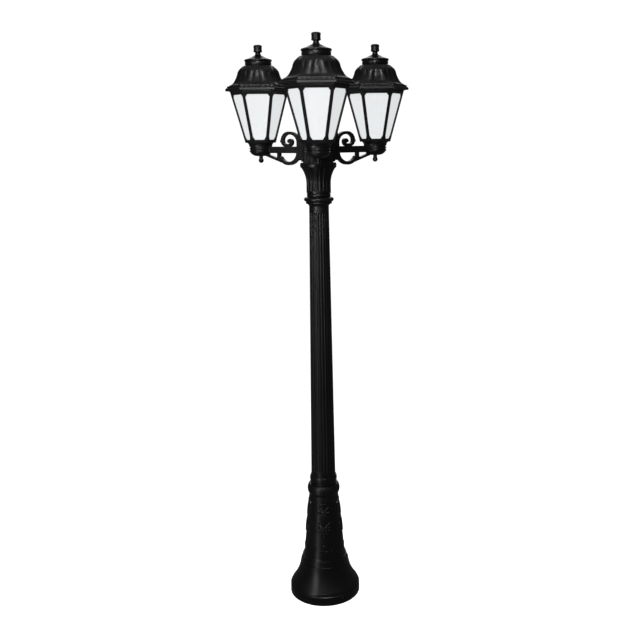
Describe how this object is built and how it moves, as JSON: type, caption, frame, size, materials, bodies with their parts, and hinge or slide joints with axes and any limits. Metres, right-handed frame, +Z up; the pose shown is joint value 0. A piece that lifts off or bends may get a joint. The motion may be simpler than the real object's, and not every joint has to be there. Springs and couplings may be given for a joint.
{
  "type": "lamp post",
  "caption": "Black garden lamp post with a fluted tapered pole on a flared base, scrolled arms and hexagonal lanterns with opal panes under petalled roofs.",
  "frame": {"origin": "on the ground, at the centre of the anchor bolt circle under the base", "axes": "+Z up the pole; -Y towards the front lantern; +X to the right seen from the front"},
  "size_m": [0.5994, 0.5191, 1.876],
  "materials": {
    "black_resin": "satin moulded resin",
    "opal": "opal acrylic",
    "bulb_glass": "frosted bulb",
    "holder_plastic": "moulded lampholder",
    "terminal_plastic": "moulded terminal block",
    "board_plastic": "grey board",
    "seal_rubber": "soft seal",
    "steel": "stainless fasteners",
    "black_steel": "blackened fasteners",
    "tube_brass": "threaded tube",
    "flange_iron": "coated casting"
  },
  "bodies": {
    "post": {"base_plinth": "black_resin", "floor_flange": "flange_iron", "rim_screws": "black_steel", "terminal_board": "board_plastic", "terminal_block": "terminal_plastic", "terminal_screws": "steel", "base_collar": "black_resin", "pole": "black_resin", "pole_screws": "steel", "neck_ring": "black_resin", "capital": "black_resin", "capital_screws": "steel", "hub": "black_resin", "hub_screws": "steel", "hub_cap": "black_resin", "arm_screws": "steel", "lantern_tubes": "tube_brass", "roof_studs": "steel", "drop_finial_front": "black_resin", "drop_finial_right": "black_resin", "drop_finial_left": "black_resin", "lantern_base_front": "black_resin", "lantern_base_right": "black_resin", "lantern_base_left": "black_resin", "lantern_frame_front": "black_resin", "lantern_frame_right": "black_resin", "lantern_frame_left": "black_resin", "diffuser_front": "opal", "diffuser_right": "opal", "diffuser_left": "opal", "lampholder_front": "holder_plastic", "lampholder_right": "holder_plastic", "lampholder_left": "holder_plastic", "roof_bridge_front": "steel", "roof_bridge_right": "steel", "roof_bridge_left": "steel", "roof_seal_front": "seal_rubber", "roof_seal_right": "seal_rubber", "roof_seal_left": "seal_rubber", "arm_front": "black_resin", "arm_right": "black_resin", "arm_left": "black_resin"},
    "door": {"access_door": "black_resin", "door_screw": "black_steel"},
    "roof_cover_front": {"roof_front": "black_resin", "vent_cap_front": "black_resin"},
    "knob_front": {"roof_knob_front": "black_resin"},
    "lamp_front": {"bulb_front": "bulb_glass"},
    "roof_cover_right": {"roof_right": "black_resin", "vent_cap_right": "black_resin"},
    "knob_right": {"roof_knob_right": "black_resin"},
    "lamp_right": {"bulb_right": "bulb_glass"},
    "roof_cover_left": {"roof_left": "black_resin", "vent_cap_left": "black_resin"},
    "knob_left": {"roof_knob_left": "black_resin"},
    "lamp_left": {"bulb_left": "bulb_glass"}
  },
  "joints": [
    {"name": "door_tilt", "type": "hinge", "parent": "post", "child": "door", "pos_m": [0, -0.05403, 0.3485], "axis": [-1, 0, 0], "range_deg": [0, 60]},
    {"name": "roof_lift_front", "type": "slide", "parent": "post", "child": "roof_cover_front", "axis": [0, 0, 1], "range_m": [0, 0.16]},
    {"name": "knob_turn_front", "type": "hinge", "parent": "roof_cover_front", "child": "knob_front", "pos_m": [0, -0.219, 1.848], "axis": [0, 0, 1], "continuous": true},
    {"name": "bulb_turn_front", "type": "hinge", "parent": "post", "child": "lamp_front", "pos_m": [0, -0.219, 1.5953], "axis": [0, 0, 1], "continuous": true},
    {"name": "roof_lift_right", "type": "slide", "parent": "post", "child": "roof_cover_right", "axis": [0, 0, 1], "range_m": [0, 0.16]},
    {"name": "knob_turn_right", "type": "hinge", "parent": "roof_cover_right", "child": "knob_right", "pos_m": [0.18966, 0.1095, 1.848], "axis": [0, 0, 1], "continuous": true},
    {"name": "bulb_turn_right", "type": "hinge", "parent": "post", "child": "lamp_right", "pos_m": [0.18966, 0.1095, 1.5953], "axis": [0, 0, 1], "continuous": true},
    {"name": "roof_lift_left", "type": "slide", "parent": "post", "child": "roof_cover_left", "axis": [0, 0, 1], "range_m": [0, 0.16]},
    {"name": "knob_turn_left", "type": "hinge", "parent": "roof_cover_left", "child": "knob_left", "pos_m": [-0.18966, 0.1095, 1.848], "axis": [0, 0, 1], "continuous": true},
    {"name": "bulb_turn_left", "type": "hinge", "parent": "post", "child": "lamp_left", "pos_m": [-0.18966, 0.1095, 1.5953], "axis": [0, 0, 1], "continuous": true}
  ]
}
